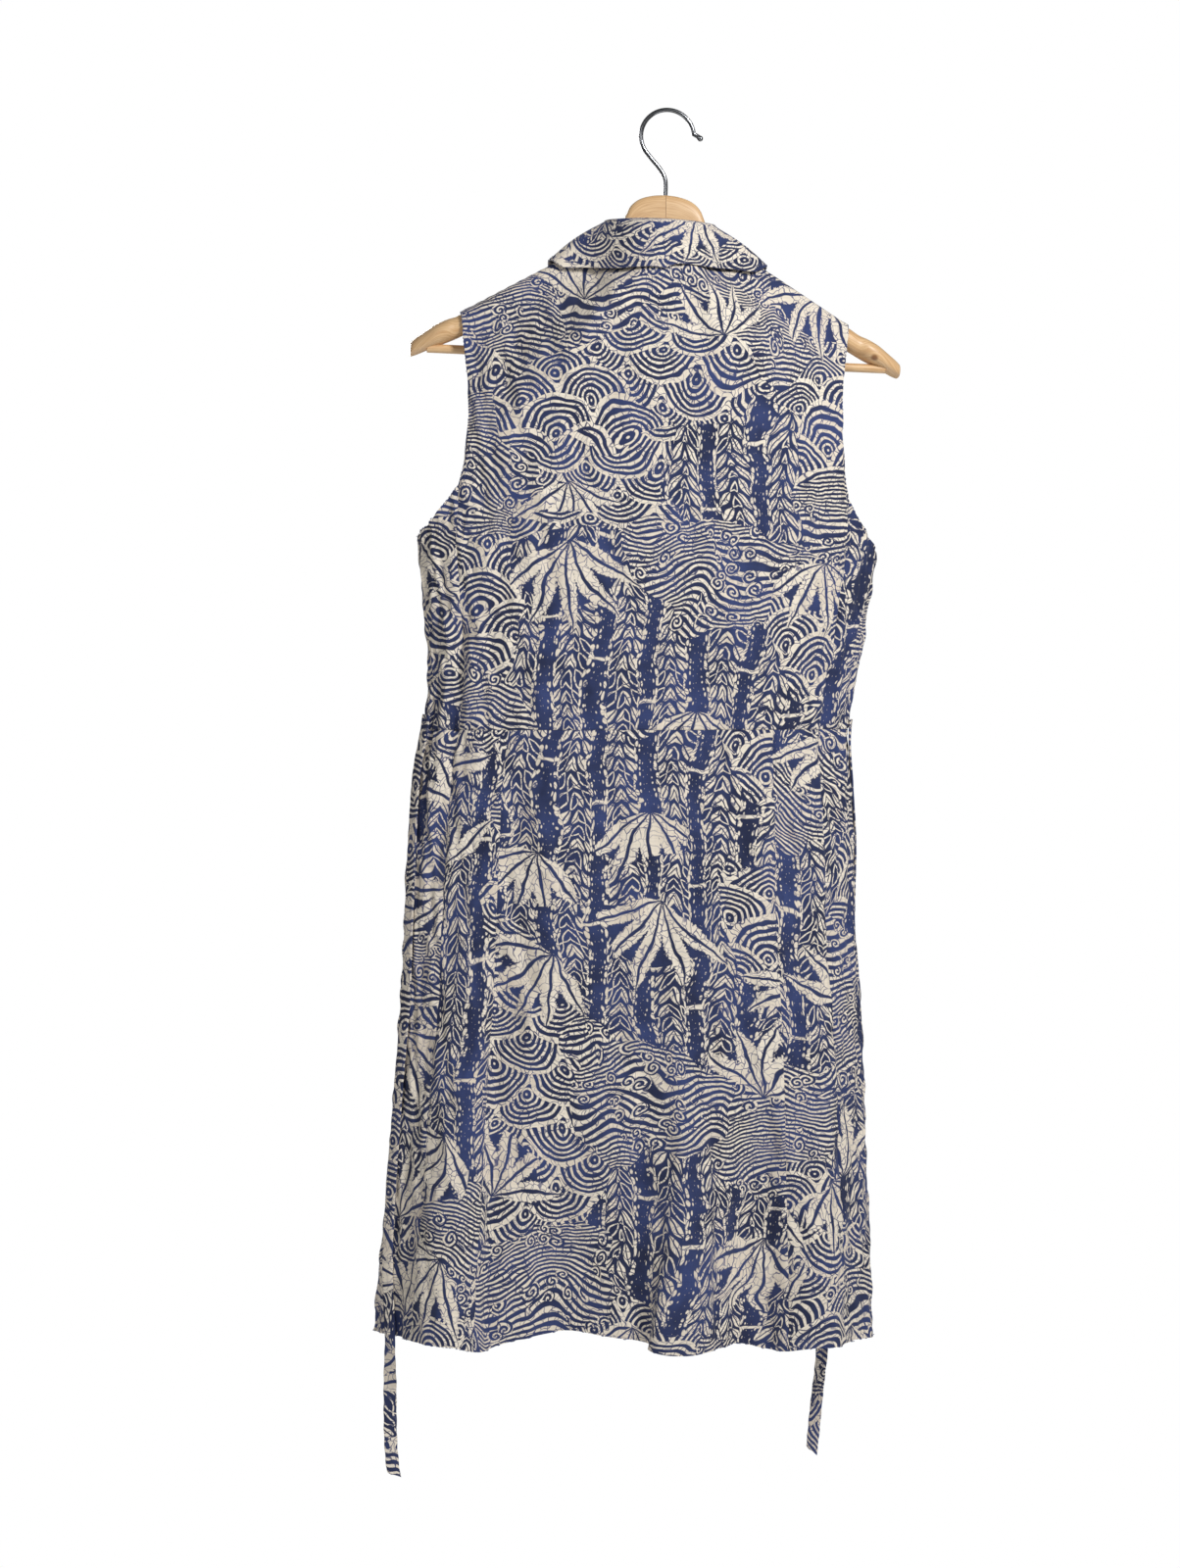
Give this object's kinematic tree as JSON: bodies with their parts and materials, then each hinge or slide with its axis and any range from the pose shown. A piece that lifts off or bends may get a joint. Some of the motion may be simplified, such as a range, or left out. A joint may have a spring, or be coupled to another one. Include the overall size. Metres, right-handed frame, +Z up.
{
  "type": "shirt dress on a hanger",
  "caption": "Sleeveless knee-length shirt dress with a folded collar, button front, waist seam, flared gored skirt and waist ties, hung on a contoured wooden hanger.",
  "frame": {"origin": "inner top of the hook's crook, where a rail carries it", "axes": "+Z up, the dress's back faces -Y and its buttoned front faces +Y, the wearer's left is at -X"},
  "size_m": [0.4483, 0.1618, 1.2259],
  "materials": {
    "print_cotton": "plain-woven cotton with a blue and cream wax-resist style print",
    "button_plastic": "glossy navy",
    "hanger_wood": "pale pine, satin lacquer",
    "hook_chrome": "bright plated steel wire"
  },
  "bodies": {
    "root": {"bodice_back": "print_cotton", "bodice_front_left": "print_cotton", "bodice_front_right": "print_cotton", "skirt_back_left": "print_cotton", "skirt_back_centre": "print_cotton", "skirt_back_right": "print_cotton", "skirt_front_left": "print_cotton", "skirt_front_right": "print_cotton", "collar_stand": "print_cotton", "collar_fall": "print_cotton", "tie_left": "print_cotton", "tie_right": "print_cotton", "button_1": "button_plastic", "button_2": "button_plastic", "button_3": "button_plastic", "button_4": "button_plastic", "button_5": "button_plastic", "button_6": "button_plastic", "button_7": "button_plastic", "button_8": "button_plastic", "button_9": "button_plastic", "button_10": "button_plastic", "hanger_arm_left": "hanger_wood", "hanger_arm_right": "hanger_wood", "hanger_bar": "hanger_wood", "hanger_hook": "hook_chrome"}
  },
  "joints": []
}
